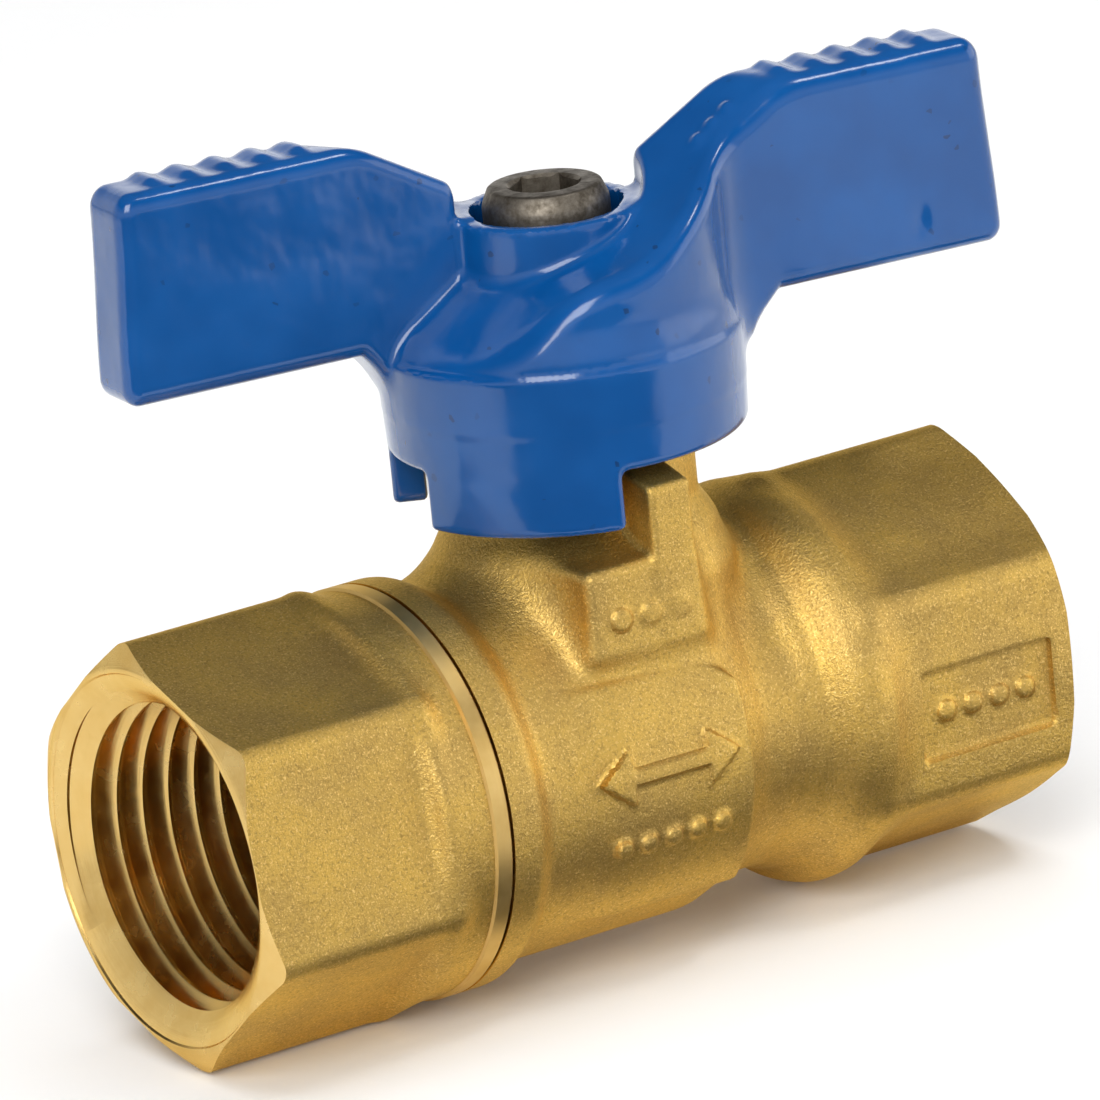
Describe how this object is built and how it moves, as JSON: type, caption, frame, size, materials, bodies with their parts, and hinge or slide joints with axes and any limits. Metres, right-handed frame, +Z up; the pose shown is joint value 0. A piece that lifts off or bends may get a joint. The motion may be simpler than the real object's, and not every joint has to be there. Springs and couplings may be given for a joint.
{
  "type": "ball valve",
  "caption": "Two-piece forged brass quarter-turn ball valve with female pipe threads, hexagon ends and an offset blue wing handle.",
  "frame": {"origin": "centre of the inlet end face, on the flow axis", "axes": "+X along the flow axis from the inlet to the outlet, +Z up the stem axis to the handle, -Y towards the stop lug"},
  "size_m": [0.0605, 0.0258, 0.0531],
  "materials": {
    "body_brass": "shot-blasted forging with turned ends",
    "cap_brass": "shot-blasted forging with a turned face and collar",
    "ball_chrome": "polished chrome plate",
    "seat_plastic": "white PTFE",
    "stem_brass": "turned",
    "ring_rubber": "matt",
    "handle_paint": "glossy blue enamel on a die casting",
    "screw_steel": "dull zinc plate"
  },
  "bodies": {
    "valve_body": {"body": "body_brass", "end_cap": "cap_brass", "inlet_seat": "seat_plastic", "outlet_seat": "seat_plastic"},
    "handle_and_stem": {"stem": "stem_brass", "thrust_washer": "seat_plastic", "lower_stem_ring": "ring_rubber", "upper_stem_ring": "ring_rubber", "handle": "handle_paint", "spring_washer": "screw_steel", "handle_screw": "screw_steel"},
    "ball": {"ball": "ball_chrome"}
  },
  "joints": [
    {"name": "handle_turn", "type": "hinge", "parent": "valve_body", "child": "handle_and_stem", "pos_m": [0.0323, 0, 0], "axis": [0, 0, 1], "range_deg": [-82.7, 7.3]},
    {"name": "ball_turn", "type": "hinge", "parent": "valve_body", "child": "ball", "pos_m": [0.0323, 0, 0], "axis": [0, 0, 1], "range_deg": [-82.7, 7.3]}
  ],
  "couplings": [
    {"joint": "ball_turn", "follows": "handle_turn", "ratio": 1}
  ]
}
